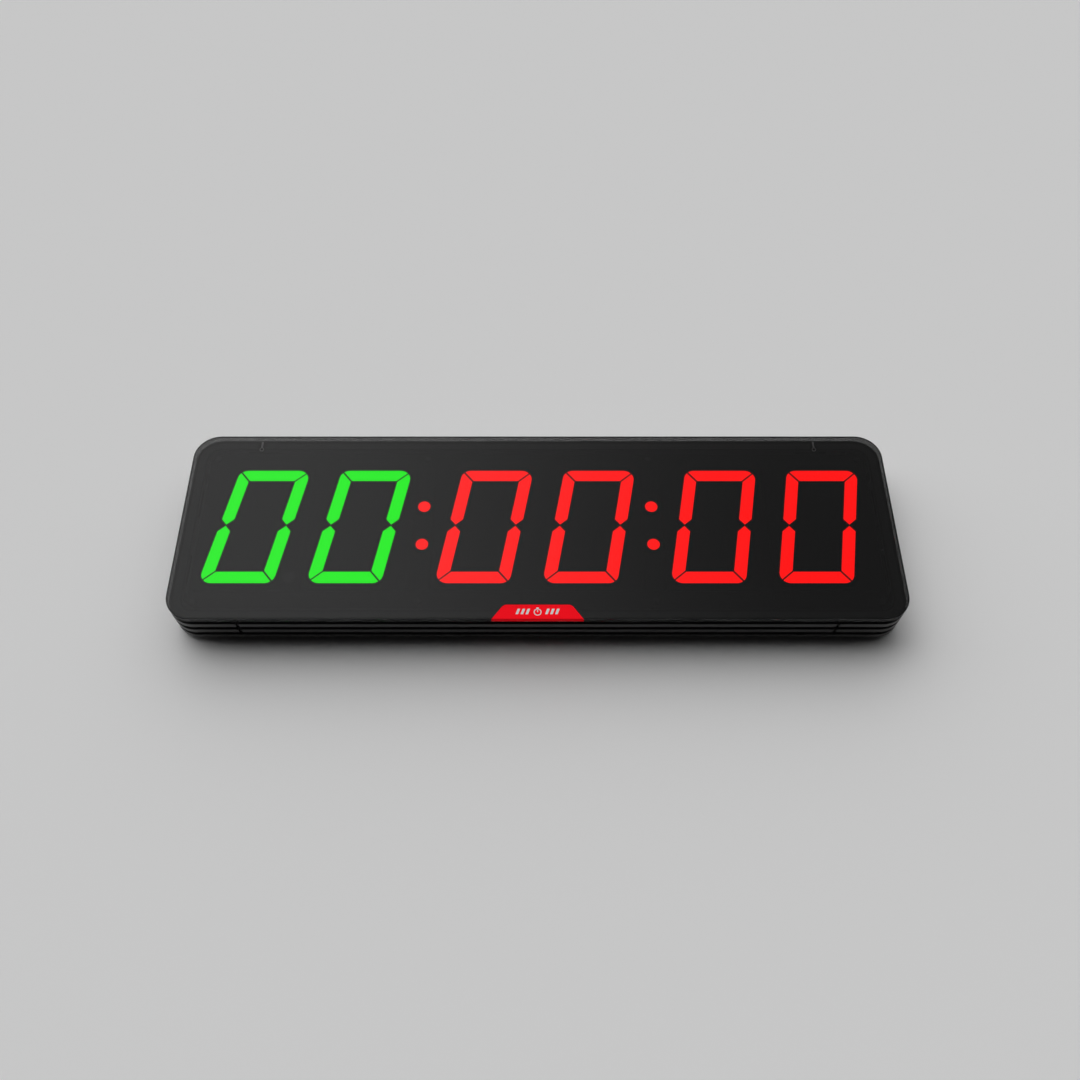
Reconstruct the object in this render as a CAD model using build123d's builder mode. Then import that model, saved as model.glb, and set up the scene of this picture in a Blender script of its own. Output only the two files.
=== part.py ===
from build123d import *
import os
from math import radians, sqrt, tan

# Gym round timer: a long, flat LED display in a ribbed frame, lying on its back.
# X runs along the display, Y towards its upper edge, Z out of its face.
# The origin is on the surface that it lies on, under the middle of the frame.
# "Inset" always means a distance inwards from the outer edge of the frame.

# ---------------------------------------------------------------- frame
length = 690.0
height = 205.0
corner_r = 25.0
rib = 6.1                  # height of each of the four ribs round the edge
groove = 5.3               # height of the three grooves between them
groove_depth = 4.0
wall = 2.0
edge_round = 0.5           # rounding of the outer edges of the ribs
foot_height = 4.0
corner_leg = 65.0          # how far a corner moulding reaches along each side
seam_gap = 3.0

depth = 4 * rib + 3 * groove
back_z = foot_height
face_z = back_z + depth
band_height = 2 * rib + groove
band_z = back_z + rib + groove           # underside of the middle band
band_top_z = band_z + band_height
inner_inset = groove_depth + wall        # inside face of the frame's wall

# ---------------------------------------------------------------- face
rim_flat = 1.5             # the rim's width round the lens
lens_t = 7.0               # the lens fills the rim to its top
lens_gap = 0.1
rim_root = (3.0, 3.1)      # the rim thins to this inset, this far below its lower edge
flange_inset = 12.5        # inner edge of the flange that carries the lens
flange_t = 2.5
tape_inset = (4.0, 11.0)
tape_t = 0.4
tape_break = 8.0           # the tape stops this wide at each seam key

flange_z = face_z - lens_t               # top of the flange

# ---------------------------------------------------------------- display
digit_count = 6
digit_height = 127.0       # five-inch characters
digit_width = 70.8
stroke = 12.2
slant = tan(radians(10.0))
digit_round = 10.0
segment_gap = 1.5
digit_y = 2.3              # the display sits a little above the middle
module_width = 101.8
module_height = 141.0
module_t = 5.0
module_gap = 0.2
colon_width = 19.4
colon_dot_r = 6.05
colon_spread = 21.3
diffuser_t = 1.5
display_gap = 1.0          # from the lens to the modules
led_size = 3.0
led_t = 0.8
led_pitch = (14.0, 12.0)   # along the level strokes, along the upright strokes

module_top_z = flange_z - display_gap
board_t = 1.6
display_board_z = module_top_z - module_t - board_t
display_board_size = (660.0, 174.0)
board_screw_x = (-323.5, -111.4, 111.4, 323.5)
board_screw_y = 80.0

ir_window_r = 6.0
ir_window_at = (-235.5, -54.7)
ir_body = (6.0, 5.0, 1.6)                # width, height, thickness
ir_dome = (1.9, 1.2)                     # radius, height

# ---------------------------------------------------------------- back
cover_t = 2.0
cover_inset = 4.0
cover_gap = 0.3
rear_flange_inset = 13.0
rear_flange_t = 2.5
cover_screw_inset = 9.0
cover_screw_x = (-240.0, -80.0, 80.0, 240.0)
screw_r = 1.5
cover_screw_head = (2.8, 1.6)            # radius, height
cover_screw_cross = (2.4, 0.6, 1.0)      # length of an arm pair, width, depth
boss_r = 3.5
tip_clearance = 0.2                      # from a screw's tip to the end of its hole
boss_inset = inner_inset + 3.0
boss_from_end = (312.0, 68.0)            # on the long sides, on the short sides
keyhole_x = 200.0
keyhole_y = 62.0
keyhole_r = 5.0
keyhole_slot = (5.0, 11.0)               # width, length
foot_r = 9.0
foot_round = 1.0
foot_at = (312.0, 74.0)

cover_top_z = back_z + cover_t           # inside face of the back cover

# ---------------------------------------------------------------- side inputs
side_z = band_z + band_height / 2        # axis of the jack and of the switch
side_x = length / 2 - groove_depth       # outside face of the wall there
jack_y = -13.0
switch_y = 13.0
service_window = (-25.0, 26.0)           # the ribs are left out between these
jack_bore_r = 2.75
jack_pin_r = 1.05
jack_thread_r = 4.0
jack_flange_r = 5.5
jack_depth = 9.5
switch_body = (13.4, 8.9, 12.0)          # along Y, along Z, depth behind the panel
switch_bezel = (15.0, 10.5, 1.6)
switch_opening = (12.0, 7.7)
rocker_half = 5.6                        # before its ends are rounded about the pivot
rocker_width = 7.0
rocker_gap = 0.3                         # between its round ends and the opening
rocker_tilt = 8.0                        # either side of level
pivot_depth = 1.0                        # pivot axis below the panel's outer face
pivot_r = 0.9
pivot_clearance = 0.1
pivot_reach = 0.7                        # the pin's reach beyond each side of the rocker

# ---------------------------------------------------------------- control board
control_at = (190.0, -15.0)
control_size = (110.0, 60.0)
control_lift = 6.0
control_z = cover_top_z + control_lift
control_top_z = control_z + board_t

os.makedirs("parts", exist_ok=True)


def write(builder, name):
    """Label a finished piece and write it as its own STEP file."""
    builder.part.label = name
    export_step(builder.part, f"parts/{name}.step")


def outline(inset, mode=Mode.ADD):
    """Rounded outline of the frame, drawn this far inside its outer edge."""
    return RectangleRounded(length - 2 * inset, height - 2 * inset, corner_r - inset, mode=mode)


def ring(outer_inset, hole_inset, low_z, high_z, mode=Mode.ADD):
    """Straight-sided ring that follows the frame between two insets and two heights."""
    with BuildSketch(Plane.XY.offset(low_z)) as band:
        outline(outer_inset)
        outline(hole_inset, mode=Mode.SUBTRACT)
    extrude(band.sketch, amount=high_z - low_z, mode=mode)


def leaning_block(low_inset, high_inset, low_z, high_z, mode=Mode.ADD):
    """Solid block that follows the frame and whose inset changes with height."""
    with BuildSketch(Plane.XY.offset(low_z)) as low:
        outline(low_inset)
    with BuildSketch(Plane.XY.offset(high_z)) as high:
        outline(high_inset)
    loft(sections=[low.sketch, high.sketch], ruled=True, mode=mode)


def boss_points():
    """Centres of the eight bosses, one on each leg of every corner."""
    long_x, short_y = boss_from_end
    side_y = height / 2 - boss_inset
    end_x = length / 2 - boss_inset
    for sx in (-1, 1):
        for sy in (-1, 1):
            yield (sx * long_x, sy * side_y)
            yield (sx * end_x, sy * short_y)


def cover_screw_points():
    """Centres of the screws that hold the back cover."""
    side_y = height / 2 - cover_screw_inset
    for x in cover_screw_x:
        yield (x, side_y)
        yield (x, -side_y)
    yield (length / 2 - cover_screw_inset, 0)
    yield (cover_screw_inset - length / 2, 0)


# ================================================================ front bezel
badge_foot_width = 84.8
badge_top_width = 63.0
badge_reach = 14.8
badge_t = 5.0
badge_corner_r = 6.0
badge_chamfer = 0.3
badge_y = -height / 2
key_x = corner_leg - length / 2
key_inset = 2.2
key_width = 1.9
key_length = 7.6
key_ring_r = (2.2, 1.5)
key_t = 0.5
bezel_screw_bite = 1.2                   # how far the frame screws go past the bosses


def badge_shape():
    """Trapezium of the badge, its long side on the frame's lower outer edge."""
    Polygon(
        (-badge_foot_width / 2, badge_y),
        (badge_foot_width / 2, badge_y),
        (badge_top_width / 2, badge_y + badge_reach),
        (-badge_top_width / 2, badge_y + badge_reach),
    )


def key_shape():
    """Seam key: a bar running in from the rim, with a small ring at its end."""
    start_y = height / 2 - key_inset
    for sx in (-1, 1):
        with Locations((sx * key_x, start_y - key_length / 2)):
            Rectangle(key_width, key_length)
        with Locations((sx * key_x, start_y - key_length - key_ring_r[1])):
            Circle(key_ring_r[0])
            Circle(key_ring_r[1], mode=Mode.SUBTRACT)


def tape_shape():
    """Ring of tape under the lens, with a break at each seam key."""
    outline(tape_inset[0])
    outline(tape_inset[1], mode=Mode.SUBTRACT)
    with Locations((key_x, height / 2 - tape_inset[1] / 2), (-key_x, height / 2 - tape_inset[1] / 2)):
        Rectangle(tape_break, tape_inset[1], mode=Mode.SUBTRACT)


with BuildPart() as front_bezel:
    with BuildSketch(Plane.XY.offset(face_z - rib)):
        outline(0)
    extrude(amount=rib)
    fillet(front_bezel.edges().filter_by(Axis.Z, reverse=True), radius=edge_round)
    leaning_block(rim_root[0], edge_round, face_z - rib - rim_root[1], face_z - rib)
    with BuildSketch(Plane.XY.offset(band_top_z)):
        outline(groove_depth)
    extrude(amount=groove)
    with BuildSketch(Plane.XY.offset(flange_z)):
        outline(rim_flat)
    extrude(amount=lens_t, mode=Mode.SUBTRACT)
    with BuildSketch(Plane.XY.offset(band_top_z)):
        outline(flange_inset)
    extrude(amount=flange_z - band_top_z, mode=Mode.SUBTRACT)
    with BuildSketch(Plane.XY.offset(band_top_z)):
        outline(inner_inset)
    extrude(amount=flange_z - flange_t - band_top_z, mode=Mode.SUBTRACT)
    with BuildSketch(Plane.XY.offset(band_top_z)):
        with Locations(*boss_points()):
            Circle(boss_r)
    extrude(amount=flange_z - flange_t - band_top_z)
    with BuildSketch(Plane.XY.offset(band_top_z)):
        with Locations(*boss_points()):
            Circle(screw_r)
    extrude(amount=flange_z - flange_t + bezel_screw_bite - band_top_z, mode=Mode.SUBTRACT)
    with BuildSketch(Plane.XY.offset(flange_z - tape_t)):
        tape_shape()
    extrude(amount=tape_t, mode=Mode.SUBTRACT)
    with BuildSketch(Plane.XY.offset(flange_z - key_t)):
        key_shape()
    extrude(amount=key_t, mode=Mode.SUBTRACT)
    with BuildSketch(Plane.XY.offset(face_z - badge_t)):
        badge_shape()
    extrude(amount=badge_t, mode=Mode.SUBTRACT)
write(front_bezel, "front_bezel")

with BuildPart() as lens:
    with BuildSketch(Plane.XY.offset(flange_z)):
        outline(rim_flat + lens_gap)
    extrude(amount=lens_t)
    with BuildSketch(Plane.XY.offset(face_z - badge_t)) as notch:
        badge_shape()
        fillet(notch.vertices().group_by(Axis.Y)[-1], radius=badge_corner_r)
        offset(amount=lens_gap)
    extrude(amount=badge_t, mode=Mode.SUBTRACT)
write(lens, "lens")

with BuildPart() as lens_tape:
    with BuildSketch(Plane.XY.offset(flange_z - tape_t)):
        tape_shape()
    extrude(amount=tape_t)
write(lens_tape, "lens_tape")

with BuildPart() as seam_keys:
    with BuildSketch(Plane.XY.offset(flange_z - key_t)):
        key_shape()
    extrude(amount=key_t)
write(seam_keys, "seam_keys")

# ================================================================ badge
emblem_t = 0.4
emblem_lift = 0.3                        # above the badge's middle
emblem_y = badge_y + badge_reach / 2 + emblem_lift
dial_r = 3.6
dial_line = 0.9
dial_drop = 0.6                          # the dial's centre lies this far below the emblem's
crown = (2.2, 1.2)
crown_gap = 0.5
hand_length = 2.0
bars_per_side = 3
first_bar_x = 9.0
bar_width = 2.4
bar_height = 5.6
bar_pitch = 4.6
bar_shift = bar_height * slant


def emblem_shape():
    """Generic stopwatch sign with three leaning bars on each side of it."""
    dial_y = emblem_y - dial_drop
    with Locations((0, dial_y)):
        Circle(dial_r)
        Circle(dial_r - dial_line, mode=Mode.SUBTRACT)
    with Locations((0, dial_y + dial_r + crown_gap)):
        Rectangle(*crown)
    with Locations((0, dial_y + hand_length / 2)):
        Rectangle(dial_line, hand_length)
    for side in (-1, 1):
        for k in range(bars_per_side):
            with Locations((side * (first_bar_x + k * bar_pitch), emblem_y)):
                Polygon(
                    (-bar_width / 2 - bar_shift, -bar_height / 2),
                    (bar_width / 2 - bar_shift, -bar_height / 2),
                    (bar_width / 2 + bar_shift, bar_height / 2),
                    (-bar_width / 2 + bar_shift, bar_height / 2),
                )


with BuildPart() as badge:
    with BuildSketch(Plane.XY.offset(face_z - badge_t)):
        badge_shape()
    extrude(amount=badge_t)
    inner_corners = badge.edges().filter_by(Axis.Z).group_by(Axis.Y)[-1]
    fillet(inner_corners, radius=badge_corner_r)
    front = badge.faces().sort_by(Axis.Z)[-1]
    chamfer(front.edges(), length=badge_chamfer)
    with BuildSketch(Plane.XY.offset(face_z - emblem_t)):
        emblem_shape()
    extrude(amount=emblem_t, mode=Mode.SUBTRACT)
write(badge, "badge")

with BuildPart() as badge_emblem:
    with BuildSketch(Plane.XY.offset(face_z - emblem_t)):
        emblem_shape()
    extrude(amount=emblem_t)
write(badge_emblem, "badge_emblem")

# ================================================================ middle band
joiner_length = 30.0
joiner_height = 12.0
joiner_t = 2.0
rivet_r = 1.2
rivet_head = (2.2, 0.8)                  # radius, height
rivet_bite = 1.4                         # how far a rivet goes into the wall
rivet_from_seam = 9.0


def band_section():
    """Section of the band: two ribs on a wall, x inwards from the outer edge."""
    section = Polygon(
        (0, 0), (inner_inset, 0), (inner_inset, band_height), (0, band_height),
        (0, rib + groove), (groove_depth, rib + groove), (groove_depth, rib), (0, rib),
    )
    fillet(section.vertices().group_by(Axis.X)[0], radius=edge_round)


def seam_frames():
    """Yield each seam as the plane on the frame's inner wall, its X axis along the wall."""
    seam_x = length / 2 - corner_leg
    seam_y = height / 2 - corner_leg
    inner_y = height / 2 - inner_inset
    inner_x = length / 2 - inner_inset
    for sx in (-1, 1):
        for sy in (-1, 1):
            yield Plane((sx * seam_x, sy * inner_y, side_z), x_dir=(1, 0, 0), z_dir=(0, -sy, 0))
            yield Plane((sx * inner_x, sy * seam_y, side_z), x_dir=(0, 1, 0), z_dir=(-sx, 0, 0))


def rivet_holes(reach):
    """Cut the holes of every rivet in the wall, to this depth."""
    for seam in seam_frames():
        with BuildSketch(seam.offset(-reach)) as holes:
            with Locations((-rivet_from_seam, 0), (rivet_from_seam, 0)):
                Circle(rivet_r)
        extrude(holes.sketch, amount=reach, mode=Mode.SUBTRACT)


long_rail = length - 2 * corner_leg - 2 * seam_gap
short_rail = height - 2 * corner_leg - 2 * seam_gap

with BuildPart() as rail_top:
    start = Plane((long_rail / 2, height / 2, band_z), x_dir=(0, -1, 0), z_dir=(-1, 0, 0))
    with BuildSketch(start):
        band_section()
    extrude(amount=long_rail)
    rivet_holes(rivet_bite)
write(rail_top, "rail_top")

with BuildPart() as rail_bottom:
    start = Plane((-long_rail / 2, -height / 2, band_z), x_dir=(0, 1, 0), z_dir=(1, 0, 0))
    with BuildSketch(start):
        band_section()
    extrude(amount=long_rail)
    rivet_holes(rivet_bite)
write(rail_bottom, "rail_bottom")

with BuildPart() as rail_left:
    start = Plane((-length / 2, short_rail / 2, band_z), x_dir=(1, 0, 0), z_dir=(0, -1, 0))
    with BuildSketch(start):
        band_section()
    extrude(amount=short_rail)
    rivet_holes(rivet_bite)
write(rail_left, "rail_left")

side_panel = Plane((side_x, 0, side_z), x_dir=(0, 1, 0), z_dir=(1, 0, 0))

with BuildPart() as rail_right:
    start = Plane((length / 2, -short_rail / 2, band_z), x_dir=(-1, 0, 0), z_dir=(0, 1, 0))
    with BuildSketch(start):
        band_section()
    extrude(amount=short_rail)
    rivet_holes(rivet_bite)
    window_mid = (service_window[0] + service_window[1]) / 2
    with BuildSketch(side_panel):
        with Locations((window_mid, 0)):
            Rectangle(service_window[1] - service_window[0], band_height)
    extrude(amount=groove_depth, mode=Mode.SUBTRACT)
    with BuildSketch(side_panel.offset(-wall)):
        with Locations((jack_y, 0)):
            Circle(jack_thread_r)
        with Locations((switch_y, 0)):
            Rectangle(switch_body[0], switch_body[1])
    extrude(amount=wall, mode=Mode.SUBTRACT)
write(rail_right, "rail_right")

with BuildPart() as corner_top_right:
    leg = corner_leg - corner_r
    arc_x = length / 2 - corner_r
    arc_y = height / 2 - corner_r
    with BuildSketch(Plane((arc_x - leg, height / 2, band_z), x_dir=(0, -1, 0), z_dir=(-1, 0, 0))):
        band_section()
    extrude(amount=-leg)
    with BuildSketch(Plane((length / 2, arc_y, band_z), x_dir=(-1, 0, 0), z_dir=(0, 1, 0))):
        band_section()
    extrude(amount=-leg)
    with BuildSketch(Plane((length / 2, arc_y, band_z), x_dir=(-1, 0, 0), z_dir=(0, 1, 0))):
        band_section()
    revolve(axis=Axis((arc_x, arc_y, 0), (0, 0, 1)), revolution_arc=90)
    with BuildSketch(Plane.XY.offset(band_z)):
        with Locations(*(p for p in boss_points() if p[0] > 0 and p[1] > 0)):
            Circle(boss_r)
    extrude(amount=band_height)
    with BuildSketch(Plane.XY.offset(band_z)):
        with Locations(*(p for p in boss_points() if p[0] > 0 and p[1] > 0)):
            Circle(screw_r)
    extrude(amount=band_height, mode=Mode.SUBTRACT)
    rivet_holes(rivet_bite)
write(corner_top_right, "corner_top_right")

with BuildPart() as corner_top_left:
    mirror(corner_top_right.part, about=Plane.YZ)
write(corner_top_left, "corner_top_left")

with BuildPart() as corner_bottom_right:
    mirror(corner_top_right.part, about=Plane.XZ)
write(corner_bottom_right, "corner_bottom_right")

with BuildPart() as corner_bottom_left:
    mirror(corner_top_left.part, about=Plane.XZ)
write(corner_bottom_left, "corner_bottom_left")

with BuildPart() as seam_joiners:
    for seam in seam_frames():
        with BuildSketch(seam):
            Rectangle(joiner_length, joiner_height)
            with Locations((-rivet_from_seam, 0), (rivet_from_seam, 0)):
                Circle(rivet_r, mode=Mode.SUBTRACT)
        extrude(amount=joiner_t)
write(seam_joiners, "seam_joiners")

with BuildPart() as joiner_rivets:
    for seam in seam_frames():
        with BuildSketch(seam.offset(-rivet_bite)):
            with Locations((-rivet_from_seam, 0), (rivet_from_seam, 0)):
                Circle(rivet_r)
        extrude(amount=rivet_bite + joiner_t)
        with BuildSketch(seam.offset(joiner_t)):
            with Locations((-rivet_from_seam, 0), (rivet_from_seam, 0)):
                Circle(rivet_head[0])
        extrude(amount=rivet_head[1])
write(joiner_rivets, "joiner_rivets")

# ================================================================ rear frame
screw_head = (2.9, 1.4)                  # countersunk head: radius, height

with BuildPart() as rear_frame:
    with BuildSketch(Plane.XY.offset(back_z)):
        outline(0)
    extrude(amount=rib)
    fillet(rear_frame.edges().filter_by(Axis.Z, reverse=True), radius=edge_round)
    with BuildSketch(Plane.XY.offset(back_z)):
        outline(inner_inset)
    extrude(amount=rib, mode=Mode.SUBTRACT)
    ring(groove_depth, inner_inset, back_z + rib, band_z)
    ring(inner_inset, rear_flange_inset, cover_top_z, cover_top_z + rear_flange_t)
    with BuildSketch(Plane.XY.offset(back_z)):
        outline(cover_inset - cover_gap)
    extrude(amount=cover_t, mode=Mode.SUBTRACT)
    with BuildSketch(Plane.XY.offset(cover_top_z)):
        with Locations(*boss_points()):
            Circle(boss_r)
    extrude(amount=band_z - cover_top_z)
    with BuildSketch(Plane.XY.offset(cover_top_z)):
        with Locations(*boss_points()):
            Circle(screw_r)
    extrude(amount=band_z - cover_top_z, mode=Mode.SUBTRACT)
    with BuildSketch(Plane.XY.offset(cover_top_z)):
        with Locations(*boss_points()):
            Circle(screw_head[0])
    extrude(amount=screw_head[1], taper=45, mode=Mode.SUBTRACT)
    with BuildSketch(Plane.XY.offset(cover_top_z)):
        with Locations(*cover_screw_points()):
            Circle(screw_r)
    extrude(amount=rear_flange_t, mode=Mode.SUBTRACT)
write(rear_frame, "rear_frame")

frame_screw_length = flange_z - flange_t + bezel_screw_bite - tip_clearance - cover_top_z

with BuildPart() as frame_screws:
    with BuildSketch(Plane.XY.offset(cover_top_z)):
        with Locations(*boss_points()):
            Circle(screw_r)
    extrude(amount=frame_screw_length)
    with BuildSketch(Plane.XY.offset(cover_top_z)):
        with Locations(*boss_points()):
            Circle(screw_head[0])
    extrude(amount=screw_head[1], taper=45)
write(frame_screws, "frame_screws")

# ================================================================ back cover
standoff_r = 2.75
standoff_bore_r = 1.25
control_feet = (45.0, 22.0)              # half spacing of the control board's standoffs


def standoff_points():
    """Centres of the display board's standoffs."""
    for x in board_screw_x:
        for sy in (-1, 1):
            yield (x, digit_y + sy * board_screw_y)


def control_points():
    """Centres of the control board's standoffs."""
    for sx in (-1, 1):
        for sy in (-1, 1):
            yield (control_at[0] + sx * control_feet[0], control_at[1] + sy * control_feet[1])


with BuildPart() as back_cover:
    with BuildSketch(Plane.XY.offset(back_z)):
        outline(cover_inset)
        with Locations(*cover_screw_points()):
            Circle(screw_r, mode=Mode.SUBTRACT)
        with Locations((-keyhole_x, keyhole_y), (keyhole_x, keyhole_y)):
            Circle(keyhole_r, mode=Mode.SUBTRACT)
        slot_mid = keyhole_y + keyhole_slot[1] / 2
        with Locations((-keyhole_x, slot_mid), (keyhole_x, slot_mid)):
            SlotCenterToCenter(
                keyhole_slot[1], keyhole_slot[0], rotation=90, mode=Mode.SUBTRACT
            )
    extrude(amount=cover_t)
write(back_cover, "back_cover")

with BuildPart() as cover_screws:
    with BuildSketch(Plane.XY.offset(back_z)):
        with Locations(*cover_screw_points()):
            Circle(screw_r)
    extrude(amount=cover_t + rear_flange_t)
    head_plane = Plane.XY.offset(back_z - cover_screw_head[1])
    with BuildSketch(head_plane):
        with Locations(*cover_screw_points()):
            Circle(cover_screw_head[0])
    extrude(amount=cover_screw_head[1])
    head_rims = cover_screws.edges().filter_by(GeomType.CIRCLE).group_by(Axis.Z)[0]
    fillet(head_rims, radius=cover_screw_head[1] / 2)
    with BuildSketch(head_plane):
        with Locations(*cover_screw_points()):
            Rectangle(cover_screw_cross[0], cover_screw_cross[1])
            Rectangle(cover_screw_cross[1], cover_screw_cross[0])
    extrude(amount=cover_screw_cross[2], mode=Mode.SUBTRACT)
write(cover_screws, "cover_screws")

with BuildPart() as rubber_feet:
    with BuildSketch():
        with Locations(*((sx * foot_at[0], sy * foot_at[1]) for sx in (-1, 1) for sy in (-1, 1))):
            Circle(foot_r)
    extrude(amount=foot_height)
    fillet(rubber_feet.edges().group_by(Axis.Z)[0], radius=foot_round)
write(rubber_feet, "rubber_feet")

# ================================================================ digit shapes
half_w = digit_width / 2
half_h = digit_height / 2
inner_w = half_w - stroke
inner_h = half_h - stroke


def lean(*points):
    """Lean a list of points over by the slant of the characters."""
    return [(x + y * slant, y) for x, y in points]


with BuildSketch() as lit_shape:
    with BuildLine():
        Polyline(
            *lean((-half_w, -half_h), (half_w, -half_h), (half_w, half_h), (-half_w, half_h)),
            close=True,
        )
    frame_face = make_face()
    fillet(frame_face.vertices(), radius=digit_round)
    with BuildLine():
        Polyline(
            *lean((-inner_w, -inner_h), (inner_w, -inner_h), (inner_w, inner_h), (-inner_w, inner_h)),
            close=True,
        )
    make_face(mode=Mode.SUBTRACT)
    # the mitre between two strokes, at each corner
    slit = segment_gap / 2 / sqrt(2)
    for sx in (-1, 1):
        for sy in (-1, 1):
            near = (sx * (inner_w - 1), sy * (inner_h - 1))
            far = (sx * (half_w + 1), sy * (half_h + 1))
            with BuildLine():
                Polyline(
                    *lean(
                        (near[0] - sx * slit, near[1] + sy * slit),
                        (near[0] + sx * slit, near[1] - sy * slit),
                        (far[0] + sx * slit, far[1] - sy * slit),
                        (far[0] - sx * slit, far[1] + sy * slit),
                    ),
                    close=True,
                )
            make_face(mode=Mode.SUBTRACT)
    # the pointed ends where upper and lower strokes meet
    for sx in (-1, 1):
        middle = sx * (half_w - stroke / 2)
        reach = stroke / 2 + 1
        waist = segment_gap / 2
        with BuildLine():
            Polyline(
                *lean(
                    (middle - reach, waist + reach), (middle, waist), (middle + reach, waist + reach),
                    (middle + reach, -waist - reach), (middle, -waist), (middle - reach, -waist - reach),
                ),
                close=True,
            )
        make_face(mode=Mode.SUBTRACT)

bar_half = (stroke - segment_gap) / 2
bar_tip = half_w - stroke / 2 - segment_gap

with BuildSketch() as bar_shape:
    with BuildLine():
        Polyline(
            *lean(
                (-bar_tip, 0), (bar_half - bar_tip, bar_half), (bar_tip - bar_half, bar_half),
                (bar_tip, 0), (bar_tip - bar_half, -bar_half), (bar_half - bar_tip, -bar_half),
            ),
            close=True,
        )
    make_face()


def digit_x(index):
    """Centre of a digit: three pairs, with a colon strip between pairs."""
    pair = index // 2
    step = index - (digit_count - 1) / 2
    return step * module_width + (pair - 1) * colon_width


def led_points(index):
    """Places of the LED chips under one digit, three to each stroke."""
    column = half_w - stroke / 2
    level = half_h - stroke / 2
    places = []
    for k in (-1, 0, 1):
        across = k * led_pitch[0]
        along = k * led_pitch[1]
        places += [(across, level), (across, 0), (across, -level)]
        for sy in (-1, 1):
            places += [(-column, sy * level / 2 + along), (column, sy * level / 2 + along)]
    return [(x + digit_x(index), y + digit_y) for x, y in lean(*places)]


colon_x = (3 * module_width - module_width) / 2 + colon_width / 2
colon_points = [
    (sx * colon_x, digit_y + sy * colon_spread) for sx in (-1, 1) for sy in (-1, 1)
]

# ================================================================ digits
module_z = module_top_z - module_t

for index in range(digit_count):
    here = (digit_x(index), digit_y)

    with BuildPart() as digit_housing:
        with BuildSketch(Plane.XY.offset(module_z)):
            with Locations(here):
                Rectangle(module_width - module_gap, module_height)
                add(lit_shape.sketch, mode=Mode.SUBTRACT)
                add(bar_shape.sketch, mode=Mode.SUBTRACT)
            if index == 0:
                with Locations(ir_window_at):
                    Circle(ir_window_r, mode=Mode.SUBTRACT)
        extrude(amount=module_t)
    write(digit_housing, f"digit_housing_{index + 1}")

    with BuildPart() as digit_segments:
        with BuildSketch(Plane.XY.offset(module_top_z - diffuser_t)):
            with Locations(here):
                add(lit_shape.sketch)
        extrude(amount=diffuser_t)
    write(digit_segments, f"digit_segments_{index + 1}")

    with BuildPart() as digit_bar:
        with BuildSketch(Plane.XY.offset(module_top_z - diffuser_t)):
            with Locations(here):
                add(bar_shape.sketch)
        extrude(amount=diffuser_t)
    write(digit_bar, f"digit_bar_{index + 1}")

with BuildPart() as colon_housings:
    with BuildSketch(Plane.XY.offset(module_z)):
        with Locations((-colon_x, digit_y), (colon_x, digit_y)):
            Rectangle(colon_width - module_gap, module_height)
        with Locations(*colon_points):
            Circle(colon_dot_r, mode=Mode.SUBTRACT)
    extrude(amount=module_t)
write(colon_housings, "colon_housings")

with BuildPart() as colon_lights:
    with BuildSketch(Plane.XY.offset(module_top_z - diffuser_t)):
        with Locations(*colon_points):
            Circle(colon_dot_r)
    extrude(amount=diffuser_t)
write(colon_lights, "colon_lights")

with BuildPart() as led_chips:
    with BuildSketch(Plane.XY.offset(module_z)):
        for index in range(digit_count):
            with Locations(*led_points(index)):
                Rectangle(led_size, led_size)
        with Locations(*colon_points):
            Rectangle(led_size, led_size)
    extrude(amount=led_t)
write(led_chips, "led_chips")

with BuildPart() as ir_window:
    with BuildSketch(Plane.XY.offset(module_top_z - diffuser_t)):
        with Locations(ir_window_at):
            Circle(ir_window_r)
    extrude(amount=diffuser_t)
write(ir_window, "ir_window")

with BuildPart() as ir_receiver:
    with BuildSketch(Plane.XY.offset(module_z)):
        with Locations(ir_window_at):
            Rectangle(ir_body[0], ir_body[1])
    extrude(amount=ir_body[2])
    with BuildSketch(Plane.XY.offset(module_z + ir_body[2])):
        with Locations(ir_window_at):
            Circle(ir_dome[0])
    extrude(amount=ir_dome[1])
    fillet(ir_receiver.edges().group_by(Axis.Z)[-1], radius=0.75 * ir_dome[1])
write(ir_receiver, "ir_receiver")

# ================================================================ display board
board_corner_r = 12.0
board_screw_head = (3.0, 1.8)            # radius, height
board_screw_cross = (2.8, 0.7, 0.8)      # length of an arm pair, width, depth
board_screw_bite = 6.0

with BuildPart() as display_board:
    with BuildSketch(Plane.XY.offset(display_board_z)):
        with Locations((0, digit_y)):
            RectangleRounded(*display_board_size, board_corner_r)
        with Locations(*standoff_points()):
            Circle(screw_r, mode=Mode.SUBTRACT)
    extrude(amount=board_t)
write(display_board, "display_board")

with BuildPart() as standoffs:
    with BuildSketch(Plane.XY.offset(cover_top_z)):
        with Locations(*standoff_points()):
            RegularPolygon(standoff_r, 6, major_radius=False)
            Circle(standoff_bore_r, mode=Mode.SUBTRACT)
    extrude(amount=display_board_z - cover_top_z)
    with BuildSketch(Plane.XY.offset(cover_top_z)):
        with Locations(*control_points()):
            RegularPolygon(standoff_r, 6, major_radius=False)
    extrude(amount=control_z - cover_top_z)
write(standoffs, "standoffs")

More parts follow.
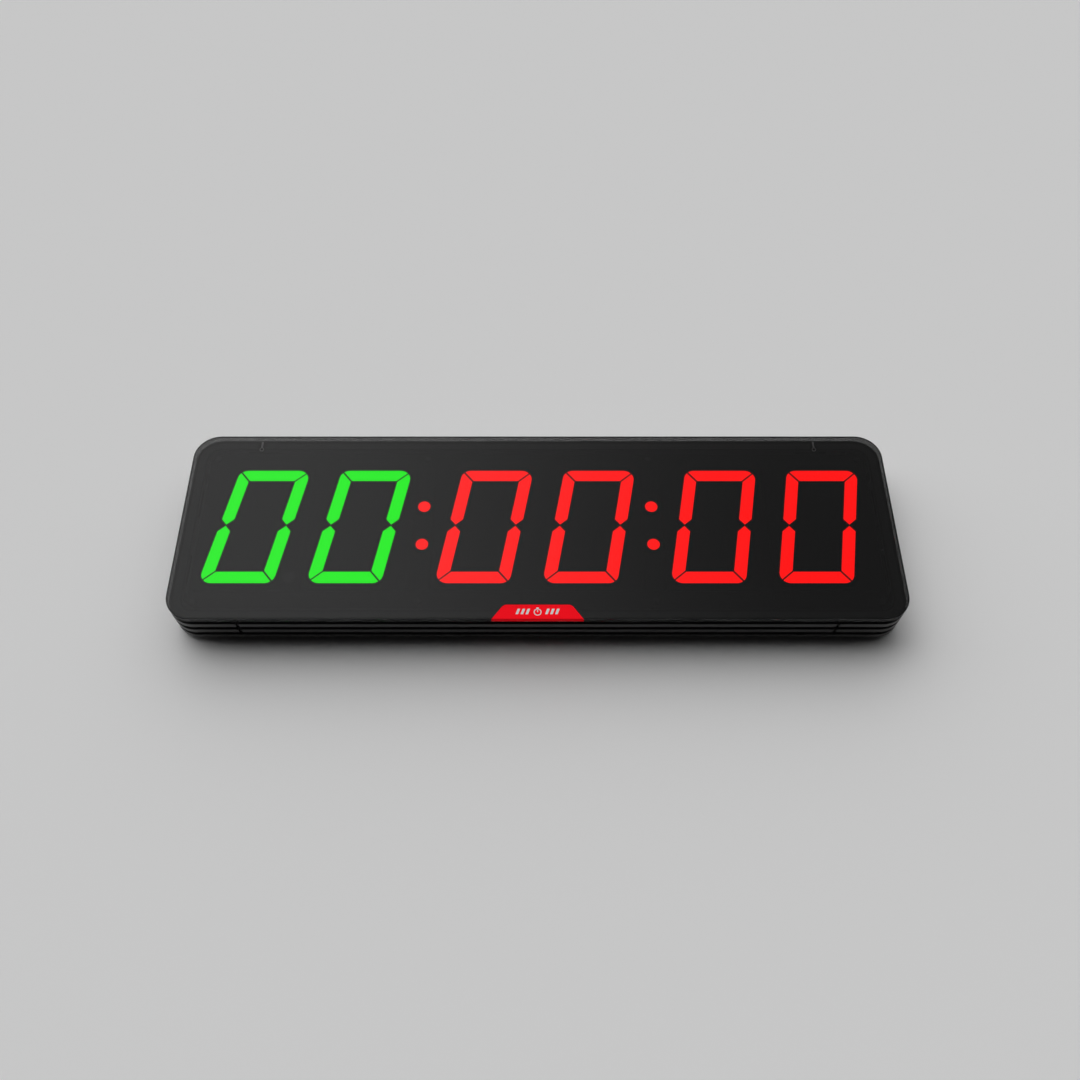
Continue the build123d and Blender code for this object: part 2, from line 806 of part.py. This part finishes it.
with BuildPart() as board_screws:
    with BuildSketch(Plane.XY.offset(display_board_z)):
        with Locations(*standoff_points()):
            Circle(screw_r)
    extrude(amount=board_t)
    with BuildSketch(Plane.XY.offset(display_board_z - board_screw_bite)):
        with Locations(*standoff_points()):
            Circle(standoff_bore_r)
    extrude(amount=board_screw_bite)
    with BuildSketch(Plane.XY.offset(display_board_z + board_t)):
        with Locations(*standoff_points()):
            Circle(board_screw_head[0])
    extrude(amount=board_screw_head[1])
    head_rims = board_screws.edges().filter_by(GeomType.CIRCLE).group_by(Axis.Z)[-1]
    fillet(head_rims, radius=board_screw_head[1] / 2)
    cross_z = display_board_z + board_t + board_screw_head[1] - board_screw_cross[2]
    with BuildSketch(Plane.XY.offset(cross_z)):
        with Locations(*standoff_points()):
            Rectangle(board_screw_cross[0], board_screw_cross[1])
            Rectangle(board_screw_cross[1], board_screw_cross[0])
    extrude(amount=board_screw_cross[2], mode=Mode.SUBTRACT)
write(board_screws, "board_screws")

# ================================================================ control board
terminal_size = (8.0, 24.0, 8.0)
header_size = (50.0, 5.0)
processor_size = (10.0, 10.0, 1.4)
driver_size = (10.0, 4.0, 1.8)
driver_count = 4
driver_pitch = 16.0
chip_chamfer = 0.3
capacitor_size = (5.0, 11.0)             # radius, height
buzzer_size = (11.0, 10.0)               # radius, height
buzzer_port = (2.0, 1.0)                 # radius, depth
holder_width = 24.0
holder_floor = 1.0
cell_r = 10.0
cell_t = 3.2
cell_gap = 0.2
top_round = 0.8


header_at = (0, 24.0)                    # places on the control board, from its middle
processor_at = (18.0, -4.0)
first_driver_at = (-24.0, 12.0)
capacitor_at = ((24.0, -20.0), (36.0, -20.0))
buzzer_at = (-36.0, -14.0)
cell_offset = (-8.0, -14.0)
board_corner_r = 2.0
holder_corner_r = 3.0


def on_board(across, along):
    """Point of the control board, counted from its middle."""
    return (control_at[0] + across, control_at[1] + along)


with BuildPart() as control_board:
    with BuildSketch(Plane.XY.offset(control_z)):
        with Locations(control_at):
            RectangleRounded(*control_size, board_corner_r)
    extrude(amount=board_t)
    with BuildSketch(Plane.XY.offset(control_top_z)):
        with Locations(on_board((control_size[0] - terminal_size[0]) / 2, 0)):
            Rectangle(terminal_size[0], terminal_size[1])
    extrude(amount=terminal_size[2])
write(control_board, "control_board")

with BuildPart() as board_header:
    with BuildSketch(Plane.XY.offset(control_top_z)):
        with Locations(on_board(*header_at)):
            Rectangle(*header_size)
    extrude(amount=display_board_z - control_top_z)
write(board_header, "board_header")

with BuildPart() as microcontroller:
    with BuildSketch(Plane.XY.offset(control_top_z)):
        with Locations(on_board(*processor_at)):
            Rectangle(processor_size[0], processor_size[1])
    extrude(amount=processor_size[2])
    chamfer(microcontroller.edges().group_by(Axis.Z)[-1], length=chip_chamfer)
write(microcontroller, "microcontroller")

with BuildPart() as driver_chips:
    with BuildSketch(Plane.XY.offset(control_top_z)):
        for k in range(driver_count):
            with Locations(on_board(first_driver_at[0] + k * driver_pitch, first_driver_at[1])):
                Rectangle(driver_size[0], driver_size[1])
    extrude(amount=driver_size[2])
    chamfer(driver_chips.edges().group_by(Axis.Z)[-1], length=chip_chamfer)
write(driver_chips, "driver_chips")

with BuildPart() as capacitors:
    with BuildSketch(Plane.XY.offset(control_top_z)):
        with Locations(*[on_board(*at) for at in capacitor_at]):
            Circle(capacitor_size[0])
    extrude(amount=capacitor_size[1])
    fillet(capacitors.edges().group_by(Axis.Z)[-1], radius=top_round)
write(capacitors, "capacitors")

with BuildPart() as buzzer:
    with BuildSketch(Plane.XY.offset(control_top_z)):
        with Locations(on_board(*buzzer_at)):
            Circle(buzzer_size[0])
    extrude(amount=buzzer_size[1])
    with BuildSketch(Plane.XY.offset(control_top_z + buzzer_size[1] - buzzer_port[1])):
        with Locations(on_board(*buzzer_at)):
            Circle(buzzer_port[0])
    extrude(amount=buzzer_port[1], mode=Mode.SUBTRACT)
write(buzzer, "buzzer")

cell_at = on_board(*cell_offset)
cell_z = control_top_z + holder_floor

with BuildPart() as coin_cell_holder:
    with BuildSketch(Plane.XY.offset(control_top_z)):
        with Locations(cell_at):
            RectangleRounded(holder_width, holder_width, holder_corner_r)
    extrude(amount=holder_floor + cell_t)
    with BuildSketch(Plane.XY.offset(cell_z)):
        with Locations(cell_at):
            Circle(cell_r + cell_gap)
    extrude(amount=cell_t, mode=Mode.SUBTRACT)
write(coin_cell_holder, "coin_cell_holder")

with BuildPart() as coin_cell:
    with BuildSketch(Plane.XY.offset(cell_z)):
        with Locations(cell_at):
            Circle(cell_r)
    extrude(amount=cell_t)
    fillet(coin_cell.edges().group_by(Axis.Z)[-1], radius=top_round)
write(coin_cell, "coin_cell")

# ================================================================ jack and switch
jack_body_depth = 14.0
jack_flange_t = 2.0
jack_pin_drop = 1.0                      # the pin ends this far below the jack's mouth
jack_nut_size = (5.5, 2.5)               # half width across its flats, thickness
jack_round = 0.5

with BuildPart() as dc_jack:
    with BuildSketch(side_panel.offset(-jack_body_depth)):
        with Locations((jack_y, 0)):
            Circle(jack_thread_r)
    extrude(amount=jack_body_depth)
    with BuildSketch(side_panel):
        with Locations((jack_y, 0)):
            Circle(jack_flange_r)
    extrude(amount=jack_flange_t)
    fillet(dc_jack.edges().filter_by(GeomType.CIRCLE).group_by(Axis.X)[-1], radius=jack_round)
    with BuildSketch(side_panel.offset(jack_flange_t - jack_depth)):
        with Locations((jack_y, 0)):
            Circle(jack_bore_r)
            Circle(jack_pin_r, mode=Mode.SUBTRACT)
    extrude(amount=jack_depth, mode=Mode.SUBTRACT)
    with BuildSketch(side_panel.offset(jack_flange_t - jack_pin_drop)):
        with Locations((jack_y, 0)):
            Circle(jack_pin_r)
    extrude(amount=jack_pin_drop, mode=Mode.SUBTRACT)
write(dc_jack, "dc_jack")

with BuildPart() as jack_nut:
    with BuildSketch(side_panel.offset(-wall - jack_nut_size[1])):
        with Locations((jack_y, 0)):
            RegularPolygon(jack_nut_size[0], 6, major_radius=False)
            Circle(jack_thread_r, mode=Mode.SUBTRACT)
    extrude(amount=jack_nut_size[1])
write(jack_nut, "jack_nut")

pivot_x = side_x - pivot_depth
cavity_depth = 4.2                       # below the panel's outer face
blade = (0.8, 4.8, 7.0)                  # switch terminal: thickness, width, reach
blade_offset = 3.5
rocker_crest = (0.6, 2.5, 3.3)           # half width of the middle, its height, height at the ends
rocker_keel = (1.5, 2.3)                 # half width, depth below the pivot
rocker_shoulder = (0.2, 0.8)             # step in from the ends, height above the pivot
switch_corner_r = 1.0

with BuildPart() as switch_housing:
    with BuildSketch(side_panel.offset(-switch_body[2])):
        with Locations((switch_y, 0)):
            Rectangle(switch_body[0], switch_body[1])
    extrude(amount=switch_body[2])
    with BuildSketch(side_panel):
        with Locations((switch_y, 0)):
            RectangleRounded(switch_bezel[0], switch_bezel[1], switch_corner_r)
    extrude(amount=switch_bezel[2])
    with BuildSketch(side_panel.offset(-cavity_depth)):
        with Locations((switch_y, 0)):
            Rectangle(*switch_opening)
    extrude(amount=cavity_depth + switch_bezel[2], mode=Mode.SUBTRACT)
    pin_hole_reach = rocker_width / 2 + pivot_reach + pivot_clearance
    with BuildSketch(Plane.XY.offset(side_z - pin_hole_reach)):
        with Locations((pivot_x, switch_y)):
            Circle(pivot_r + pivot_clearance)
    extrude(amount=2 * pin_hole_reach, mode=Mode.SUBTRACT)
    with BuildSketch(side_panel.offset(-switch_body[2] - blade[2])):
        with Locations((switch_y - blade_offset, 0), (switch_y + blade_offset, 0)):
            Rectangle(blade[0], blade[1])
    extrude(amount=blade[2])
write(switch_housing, "switch_housing")

with BuildPart() as switch_rocker:
    level = Plane((pivot_x, switch_y, side_z), x_dir=(0, 1, 0), z_dir=(0, 0, -1))
    with BuildSketch(level.rotated((0, 0, rocker_tilt)).offset(-rocker_width / 2)):
        with BuildLine():
            Polyline(
                (-rocker_half, rocker_crest[2]), (-rocker_crest[0], rocker_crest[1]),
                (rocker_crest[0], rocker_crest[1]), (rocker_half, rocker_crest[2]),
                (rocker_half - rocker_shoulder[0], rocker_shoulder[1]),
                (rocker_keel[0], -rocker_keel[1]), (-rocker_keel[0], -rocker_keel[1]),
                (rocker_shoulder[0] - rocker_half, rocker_shoulder[1]),
                close=True,
            )
        make_face()
        Circle(switch_opening[0] / 2 - rocker_gap, mode=Mode.INTERSECT)
    extrude(amount=rocker_width)
    with BuildSketch(level.offset(-rocker_width / 2 - pivot_reach)):
        Circle(pivot_r)
    extrude(amount=rocker_width + 2 * pivot_reach)
write(switch_rocker, "switch_rocker")

# ================================================================ internal leads
lead_r = 1.4
lead_bend_r = 14.0
lead_bend_x = (306.0, 272.0)
socket_z = control_top_z + terminal_size[2] / 2
socket_x = control_at[0] + control_size[0] / 2
socket_y = (control_at[1] - 6.0, control_at[1] + 6.0)
jack_back_x = side_x - jack_body_depth
switch_back_x = side_x - switch_body[2] - blade[2]
blade_y = switch_y - blade_offset
lead_routes = [
    [
        (jack_back_x, jack_y, side_z), (lead_bend_x[0], jack_y, side_z),
        (lead_bend_x[1], socket_y[0], socket_z), (socket_x, socket_y[0], socket_z),
    ],
    [
        (switch_back_x, blade_y, side_z), (lead_bend_x[0], blade_y, side_z),
        (lead_bend_x[1], socket_y[1], socket_z), (socket_x, socket_y[1], socket_z),
    ],
]

with BuildPart() as power_leads:
    for route in lead_routes:
        with BuildLine() as path:
            FilletPolyline(*route, radius=lead_bend_r)
        with BuildSketch(Plane(route[0], z_dir=(-1, 0, 0))):
            Circle(lead_r)
        sweep(path=path.line)
write(power_leads, "power_leads")
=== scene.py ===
from math import cos, radians, sin

import bpy
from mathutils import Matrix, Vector


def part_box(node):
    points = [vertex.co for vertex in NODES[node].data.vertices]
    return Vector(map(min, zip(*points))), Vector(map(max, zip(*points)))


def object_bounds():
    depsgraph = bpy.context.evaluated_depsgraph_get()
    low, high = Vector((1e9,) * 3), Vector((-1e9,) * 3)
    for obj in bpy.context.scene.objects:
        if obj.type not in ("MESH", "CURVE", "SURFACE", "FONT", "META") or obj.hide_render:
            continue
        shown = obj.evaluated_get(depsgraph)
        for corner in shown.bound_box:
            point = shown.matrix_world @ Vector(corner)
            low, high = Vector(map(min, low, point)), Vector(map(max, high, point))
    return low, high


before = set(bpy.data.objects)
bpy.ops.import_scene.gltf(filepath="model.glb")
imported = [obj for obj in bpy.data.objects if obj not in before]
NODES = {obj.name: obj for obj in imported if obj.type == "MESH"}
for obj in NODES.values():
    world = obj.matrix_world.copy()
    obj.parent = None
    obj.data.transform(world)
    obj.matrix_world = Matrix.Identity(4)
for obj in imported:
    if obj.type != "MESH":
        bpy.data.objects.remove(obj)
cad_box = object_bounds()

MM = 0.001
NOISE_SPAN = (0.25, 0.75)                # where nearly all of a noise's values lie


# ---------------------------------------------------------------- node helpers
def maths_node(tree, operation, first, second=0.0):
    """One Math node in a tree; each input is a number or an output."""
    made = tree.nodes.new("ShaderNodeMath")
    made.operation = operation
    for socket, value in zip(made.inputs, (first, second)):
        if isinstance(value, (int, float)):
            socket.default_value = value
        else:
            tree.links.new(value, socket)
    return made.outputs[0]


class Shader:
    """A material whose Principled shader is set up with short calls."""

    def __init__(self, name, colour, roughness, **sockets):
        self.material = bpy.data.materials.new(name)
        self.material.use_nodes = True
        self.tree = self.material.node_tree
        self.bsdf = self.tree.nodes["Principled BSDF"]
        self.bsdf.inputs["Base Color"].default_value = (*colour, 1.0)
        self.bsdf.inputs["Roughness"].default_value = roughness
        for socket, value in sockets.items():
            self.bsdf.inputs[socket.replace("_", " ")].default_value = value
        self.place = self.tree.nodes.new("ShaderNodeTexCoord").outputs["Object"]

    def node(self, kind, **settings):
        """Add a node and set its properties."""
        made = self.tree.nodes.new(kind)
        for name, value in settings.items():
            setattr(made, name, value)
        return made

    def link(self, start, end):
        self.tree.links.new(start, end)

    def maths(self, operation, first, second=0.0):
        return maths_node(self.tree, operation, first, second)

    def height(self):
        """The z of each point of the surface, in metres."""
        place = self.node("ShaderNodeSeparateXYZ")
        self.link(self.place, place.inputs[0])
        return place.outputs[2]

    def noise(self, scale, detail, stretch=(1, 1, 1), roughness=0.5):
        """Noise with about this many features to the metre, drawn out along an axis by stretch."""
        mapping = self.node("ShaderNodeMapping")
        mapping.inputs["Scale"].default_value = stretch
        self.link(self.place, mapping.inputs["Vector"])
        made = self.node("ShaderNodeTexNoise")
        made.inputs["Scale"].default_value = scale
        made.inputs["Detail"].default_value = detail
        made.inputs["Roughness"].default_value = roughness
        self.link(mapping.outputs["Vector"], made.inputs["Vector"])
        return made.outputs["Fac"]

    def spread(self, value, low, high):
        """Map a noise pattern onto a range of numbers."""
        made = self.node("ShaderNodeMapRange")
        made.inputs["From Min"].default_value, made.inputs["From Max"].default_value = NOISE_SPAN
        made.inputs["To Min"].default_value = low
        made.inputs["To Max"].default_value = high
        self.link(value, made.inputs["Value"])
        return made.outputs["Result"]

    def blend(self, pattern, first, second):
        """Mix two colours by a pattern."""
        made = self.node("ShaderNodeMix", data_type="RGBA")
        self.link(pattern, made.inputs["Factor"])
        for socket, colour in zip((made.inputs[6], made.inputs[7]), (first, second)):
            socket.default_value = (*colour, 1.0)
        return made.outputs[2]

    def rough(self, pattern, low, high):
        """Let the roughness follow a pattern."""
        self.link(self.spread(pattern, low, high), self.bsdf.inputs["Roughness"])

    def colour(self, output):
        self.link(output, self.bsdf.inputs["Base Color"])

    def bump(self, pattern, depth):
        """Raise the surface by a pattern, to this depth in metres."""
        made = self.node("ShaderNodeBump")
        made.inputs["Strength"].default_value = 1.0
        made.inputs["Distance"].default_value = depth
        self.link(pattern, made.inputs["Height"])
        self.link(made.outputs["Normal"], self.bsdf.inputs["Normal"])

    def over(self, mask, colour, roughness, **sockets):
        """Lay a second plain shader over this one where the mask is 1."""
        top = self.node("ShaderNodeBsdfPrincipled")
        top.inputs["Base Color"].default_value = (*colour, 1.0)
        top.inputs["Roughness"].default_value = roughness
        for socket, value in sockets.items():
            top.inputs[socket.replace("_", " ")].default_value = value
        end = next(n for n in self.tree.nodes if n.type == "OUTPUT_MATERIAL").inputs["Surface"]
        mix = self.node("ShaderNodeMixShader")
        self.link(mask, mix.inputs[0])
        self.link(end.links[0].from_socket, mix.inputs[1])
        self.link(top.outputs[0], mix.inputs[2])
        self.link(mix.outputs[0], end)


def dress(material, *names):
    """Give a material to CAD nodes."""
    for name in names:
        mesh = NODES[name].data
        mesh.materials.clear()
        mesh.materials.append(material)


# ---------------------------------------------------------------- camera
LENS_MM = 35.0
SENSOR_MM = 36.0
CLIP_START = 0.01
TILT = radians(60.0)                     # how far the view looks down
AIM = Vector((0.0022, -0.0189, cad_box[1].z))   # the middle of the picture, on the top of the rim
AWAY = 1.0038                            # from there to the camera

camera = bpy.data.objects.new("camera", bpy.data.cameras.new("camera"))
camera.data.lens = LENS_MM
camera.data.sensor_width = SENSOR_MM
camera.data.clip_start = CLIP_START
camera.location = AIM + AWAY * Vector((0, -cos(TILT), sin(TILT)))
camera.rotation_euler = (radians(90.0) - TILT, 0, 0)
bpy.context.scene.collection.objects.link(camera)
bpy.context.scene.camera = camera

# ---------------------------------------------------------------- floor
FLOOR_HALF = 30.0
FLOOR_GREY = 0.874
floor_mesh = bpy.data.meshes.new("floor")
floor_mesh.from_pydata(
    [(FLOOR_HALF * x, FLOOR_HALF * y, 0) for x, y in ((-1, -1), (1, -1), (1, 1), (-1, 1))],
    [], [(0, 1, 2, 3)],
)
floor = bpy.data.objects.new("floor", floor_mesh)
bpy.context.scene.collection.objects.link(floor)
floor_mesh.materials.append(
    Shader("pale_floor", (FLOOR_GREY,) * 3, 0.9, Specular_IOR_Level=0.0).material)

# ---------------------------------------------------------------- light
LOBES = (                                # strength, azimuth, elevation, sharpness
    (1.366, 168.3, -0.3, 6.08),
    (1.781, 91.6, 29.6, 2.69),
    (1.879, 122.0, 65.7, 7.02),
    (-1.443, 73.1, 56.7, 16.4),          # a dark flag, which shades the right of the lens
)
WALL = (-0.005, 0.144)                   # the light comes from behind (+Y) and fades out between these
AMBIENT = 0.008
BACKDROP = 0.5                           # what the camera sees beyond the floor

world = bpy.data.worlds.new("studio")
bpy.context.scene.world = world
world.use_nodes = True
tree = world.node_tree
background = tree.nodes["Background"]
direction = tree.nodes.new("ShaderNodeTexCoord").outputs["Generated"]


def world_maths(operation, first, second=0.0):
    return maths_node(tree, operation, first, second)


light = 0.0
for strength, azimuth, elevation, sharpness in LOBES:
    turn, rise = radians(azimuth), radians(elevation)
    dot = tree.nodes.new("ShaderNodeVectorMath")
    dot.operation = "DOT_PRODUCT"
    tree.links.new(direction, dot.inputs[0])
    dot.inputs[1].default_value = (cos(rise) * cos(turn), cos(rise) * sin(turn), sin(rise))
    falloff = world_maths("MULTIPLY", world_maths("SUBTRACT", dot.outputs["Value"], 1.0), sharpness)
    lobe = world_maths("MULTIPLY", world_maths("EXPONENT", falloff), strength)
    light = world_maths("ADD", lobe, light)
parts = tree.nodes.new("ShaderNodeSeparateXYZ")
tree.links.new(direction, parts.inputs[0])
fade = tree.nodes.new("ShaderNodeMapRange")
fade.interpolation_type = "SMOOTHSTEP"
fade.inputs["From Min"].default_value, fade.inputs["From Max"].default_value = WALL
tree.links.new(parts.outputs["Y"], fade.inputs["Value"])
light = world_maths("MULTIPLY", world_maths("MAXIMUM", light, 0.0), fade.outputs["Result"])
light = world_maths("ADD", light, AMBIENT)
seen = tree.nodes.new("ShaderNodeLightPath").outputs["Is Camera Ray"]
shown = world_maths("ADD", world_maths("MULTIPLY", seen, BACKDROP),
                    world_maths("MULTIPLY", world_maths("SUBTRACT", 1.0, seen), light))
grey = tree.nodes.new("ShaderNodeCombineColor")
for channel in grey.inputs:
    tree.links.new(shown, channel)
tree.links.new(grey.outputs[0], background.inputs["Color"])
bpy.context.scene.view_settings.view_transform = "Standard"


# ---------------------------------------------------------------- materials
LENS_LOW, LENS_HIGH = (corner.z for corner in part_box("lens"))
LENS_ALPHA = 0.85                        # how solid the lens's top face is
LENS_GLOSS = 0.205                       # its specular level
RIM_ALPHA = 0.25
RIM_GLOSS = dict(IOR=1.9, Specular_IOR_Level=1.0)
RIM_LIP = 0.1 * MM                       # the clear rim starts this far above the lens's underside
RIM_TOP = 0.45 * MM                      # and its top face, with its rounded edge, is this deep
FLANGE_BAND = 0.2 * MM                   # the flange is within this of the lens's underside
LENS_FACE = 0.2 * MM                     # the lens's top face is within this of its highest point
UNDER_GLOSS = 0.0                        # what lies under the lens has no sheen of its own


def black_moulding(name, base=0.012, low_gloss=0.34, high_gloss=0.46, grain=0.004, **sockets):
    """Injection-moulded plastic, cloudy in colour and gloss, with a spark-eroded grain this deep in mm."""
    made = Shader(name, (base,) * 3, 0.4, **sockets)
    cloud = made.noise(35, 4)
    made.rough(cloud, low_gloss, high_gloss)
    made.colour(made.blend(cloud, (base * 0.85,) * 3, (base * 1.2,) * 3))
    if grain:
        made.bump(made.noise(1400, 2), grain * MM)
    return made


def bezel_plastic():
    """Satin black; the rim round the lens is clear and smoked, and its top is glossy as the lens."""
    made = black_moulding("bezel_plastic")
    height = made.height()
    rim = made.maths("GREATER_THAN", height, LENS_LOW + RIM_LIP)
    made.over(rim, (0.004,) * 3, 0.1, Alpha=RIM_ALPHA, **RIM_GLOSS)
    top = made.maths("GREATER_THAN", height, LENS_HIGH - RIM_TOP)
    made.over(top, (0.002,) * 3, 0.08, Specular_IOR_Level=LENS_ALPHA * LENS_GLOSS)
    off_flange = made.maths("ABSOLUTE", made.maths("SUBTRACT", height, LENS_LOW))
    flange = made.maths("LESS_THAN", off_flange, FLANGE_BAND)
    made.over(flange, (0.004,) * 3, 0.3, Specular_IOR_Level=UNDER_GLOSS)
    return made


def smoked_acrylic():
    """Polished smoked sheet with faint wipe marks in its gloss; only its top face shows."""
    made = Shader("smoked_acrylic", (0.002,) * 3, 0.08, IOR=1.49, Specular_IOR_Level=LENS_GLOSS)
    top = made.maths("GREATER_THAN", made.height(), LENS_HIGH - LENS_FACE)
    made.link(made.maths("MULTIPLY", top, LENS_ALPHA), made.bsdf.inputs["Alpha"])
    made.rough(made.noise(14, 5, stretch=(1, 3, 1)), 0.06, 0.10)
    made.material.surface_render_method = "BLENDED"
    return made


def glowing(name, colour, strength):
    """Milky diffuser lit from below."""
    made = Shader(name, (0.02, 0.02, 0.02), 0.5, Emission_Strength=strength, Specular_IOR_Level=0.05)
    made.bsdf.inputs["Emission Color"].default_value = (*colour, 1.0)
    made.bump(made.noise(900, 2), 0.004 * MM)
    return made


def brushed(name, colour, along, low_gloss, high_gloss, metallic=1.0, **sockets):
    """Metal, or a coat over it, with fine lines drawn along one axis (0 is x, 1 is y, 2 is z)."""
    stretch = tuple(0.02 if axis == along else 1.0 for axis in range(3))
    made = Shader(name, colour, 0.4, Metallic=metallic, **sockets)
    lines = made.noise(1800, 4, stretch=stretch, roughness=0.65)
    made.rough(lines, low_gloss, high_gloss)
    dark, pale = (tuple(share * c for c in colour) for share in (0.85, 1.12))
    made.colour(made.blend(lines, dark, pale))
    made.bump(lines, 0.004 * MM)
    return made


def rubber():
    """Matt black rubber with a fine, uneven skin."""
    made = Shader("soft_rubber", (0.018,) * 3, 0.8, Specular_IOR_Level=0.3)
    made.rough(made.noise(120, 4), 0.7, 0.9)
    made.bump(made.noise(1500, 4), 0.02 * MM)
    return made


def red_enamel_with_painted_glow():
    """Bright red, with a faint painted glow that makes it brighter than the light falling on it."""
    # the emission here is painted light: a faint glow that lifts the red above what the lamps give it
    made = Shader("badge_enamel", (1.0, 0.004, 0.014), 0.45, Specular_IOR_Level=0.03,
                  Emission_Strength=0.12)
    made.bsdf.inputs["Emission Color"].default_value = (1.0, 0.0, 0.004, 1.0)
    made.rough(made.noise(60, 4), 0.38, 0.5)
    made.bump(made.noise(500, 2), 0.003 * MM)
    return made


def solder_mask():
    """Near-black, slightly green lacquer."""
    made = Shader("solder_mask", (0.004, 0.005, 0.0045), 0.35, Specular_IOR_Level=UNDER_GLOSS)
    made.rough(made.noise(150, 4), 0.3, 0.42)
    return made


def chip_resin():
    """Cast resin of the LED chips, cloudy with phosphor."""
    made = Shader("chip_resin", (0.8, 0.75, 0.5), 0.4)
    cloud = made.noise(900, 4)
    made.rough(cloud, 0.3, 0.5)
    made.colour(made.blend(cloud, (0.7, 0.62, 0.36), (0.85, 0.8, 0.6)))
    made.bump(cloud, 0.01 * MM)
    return made


moulding = black_moulding("frame_plastic", 0.014, 0.32, 0.44, Specular_IOR_Level=0.7).material
rear_black = black_moulding("rear_frame_plastic", 0.02, 0.32, 0.44, Specular_IOR_Level=1.0).material
sheet_black = black_moulding("cover_grain", 0.02, 0.5, 0.65, grain=0.03).material
small_black = black_moulding("small_mouldings", 0.014, 0.3, 0.42).material
rail_x, rail_y = (
    brushed(name, (0.018, 0.018, 0.019), axis, 0.3, 0.42, metallic=0.0, Specular_IOR_Level=0.7).material
    for axis, name in enumerate(("anodised_rail_long", "anodised_rail_short"))
)
face_black, unlit = (
    black_moulding(name, base, low, high, grain=0.0, Specular_IOR_Level=UNDER_GLOSS).material
    for name, base, low, high in (("display_face", 0.004, 0.26, 0.32), ("unlit_diffuser", 0.006, 0.3, 0.36))
)

dress(bezel_plastic().material, "front_bezel")
dress(smoked_acrylic().material, "lens")
dress(rubber().material, "rubber_feet", "lens_tape", "power_leads")
dress(brushed("key_metal", (0.8, 0.8, 0.8), 1, 0.45, 0.6, metallic=0.4).material, "seam_keys")
dress(red_enamel_with_painted_glow().material, "badge")
dress(black_moulding("badge_inlay", 0.7, 0.3, 0.4, 0.002).material, "badge_emblem")
dress(rail_x, "rail_top", "rail_bottom")
dress(rail_y, "rail_left", "rail_right")
dress(moulding, "corner_top_left", "corner_top_right", "corner_bottom_left", "corner_bottom_right")
dress(rear_black, "rear_frame")
dress(sheet_black, "back_cover")
dress(small_black, "dc_jack", "switch_housing", "switch_rocker", "board_header", "buzzer",
      "coin_cell_holder", "microcontroller", "driver_chips", "ir_receiver", "ir_window")
dress(brushed("black_zinc", (0.05, 0.05, 0.055), 0, 0.3, 0.45).material, "frame_screws", "cover_screws",
      "board_screws")
dress(brushed("blackened_brass", (0.012, 0.01, 0.008), 2, 0.5, 0.65, metallic=0.0).material, "standoffs")
dress(black_moulding("joiner_black", 0.006, 0.6, 0.8, Specular_IOR_Level=0.2).material,
      "seam_joiners", "joiner_rivets")
dress(brushed("plain_metal", (0.45, 0.45, 0.46), 0, 0.25, 0.4).material, "jack_nut",
      "capacitors", "coin_cell")
dress(face_black, "display_board")
dress(solder_mask().material, "control_board")
dress(chip_resin().material, "led_chips")
green = glowing("lit_green", (0.0, 1.0, 0.0), 5.39).material
red = glowing("lit_red", (1.0, 0.0, 0.0), 6.8).material
for index in range(1, 7):
    dress(green if index <= 2 else red, f"digit_segments_{index}")
    dress(face_black, f"digit_housing_{index}")
    dress(unlit, f"digit_bar_{index}")
dress(red, "colon_lights")
dress(face_black, "colon_housings")
